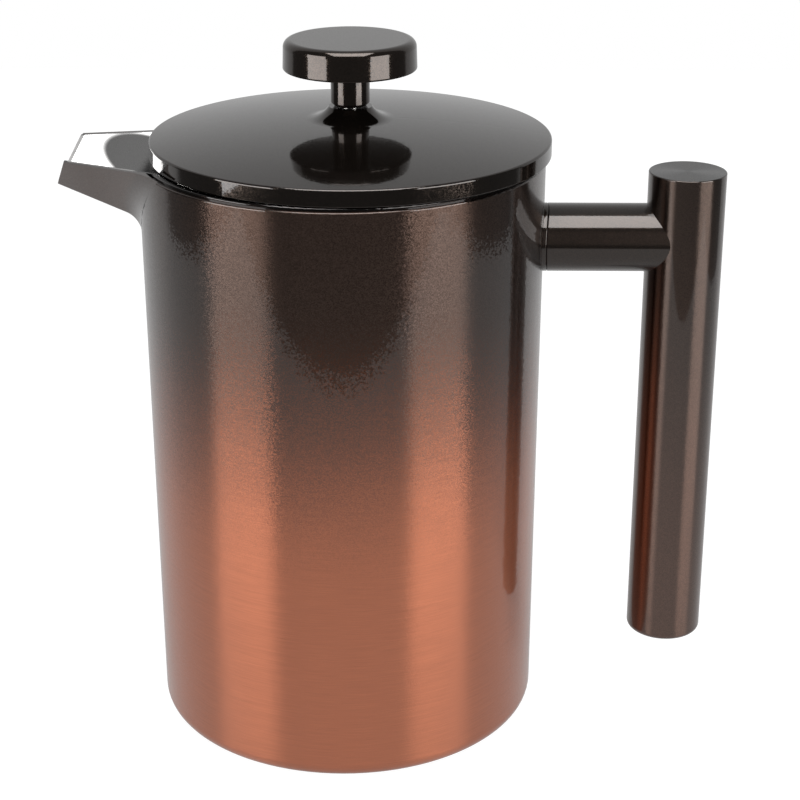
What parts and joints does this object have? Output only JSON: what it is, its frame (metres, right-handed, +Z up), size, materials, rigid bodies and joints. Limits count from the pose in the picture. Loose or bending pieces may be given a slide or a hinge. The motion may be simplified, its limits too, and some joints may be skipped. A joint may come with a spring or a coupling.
{
  "type": "french press",
  "caption": "Double-walled steel french press with a V spout, a T-shaped tube handle, a lift-off domed lid and a plunger with a sprung mesh filter.",
  "frame": {"origin": "centre of the jug's foot, on the plane that it stands on", "axes": "+Z up along the jug's axis, +X towards the handle, -X towards the spout"},
  "size_m": [0.1752, 0.106, 0.1874],
  "materials": {
    "shell_paint": "clear-coated metallic paint, fading from dark bronze at the top to copper at the foot",
    "dark_paint": "glossy clear-coated dark bronze metallic paint",
    "brushed_steel": "brushed",
    "polished_steel": "polished stainless steel",
    "spring_steel": "bright drawn wire",
    "wire_mesh": "fine woven wire"
  },
  "bodies": {
    "jug": {"outer_shell": "shell_paint", "base_plate": "brushed_steel", "inner_pot": "brushed_steel", "spout_skin": "shell_paint", "spout_lining": "brushed_steel", "backing_plate": "brushed_steel", "stub_collar": "dark_paint", "handle_stub": "dark_paint", "grip_tube": "dark_paint", "grip_top_cap": "dark_paint", "grip_bottom_cap": "dark_paint"},
    "guide": {"lid_bush": "polished_steel", "bush_nut": "polished_steel"},
    "lid": {"lid_cover": "dark_paint", "lid_liner": "brushed_steel"},
    "plunger": {"plunger_rod": "polished_steel", "rod_collar": "polished_steel", "spiral_plate": "brushed_steel", "edge_spring": "spring_steel", "mesh_screen": "wire_mesh", "cross_plate": "brushed_steel", "cross_hub": "polished_steel"},
    "knob": {"knob_cap": "dark_paint", "knob_insert": "dark_paint"}
  },
  "joints": [
    {"name": "lid_lift", "type": "slide", "parent": "jug", "child": "guide", "axis": [0, 0, 1], "range_m": [0, 0.17]},
    {"name": "lid_turn", "type": "hinge", "parent": "guide", "child": "lid", "pos_m": [0.0022, 0, 0.158], "axis": [0, 0, 1], "continuous": true},
    {"name": "plunger_slide", "type": "slide", "parent": "guide", "child": "plunger", "axis": [0, 0, 1], "range_m": [0, 0.118]},
    {"name": "knob_turn", "type": "hinge", "parent": "plunger", "child": "knob", "pos_m": [0.0022, 0, 0.175], "axis": [0, 0, 1], "continuous": true}
  ]
}
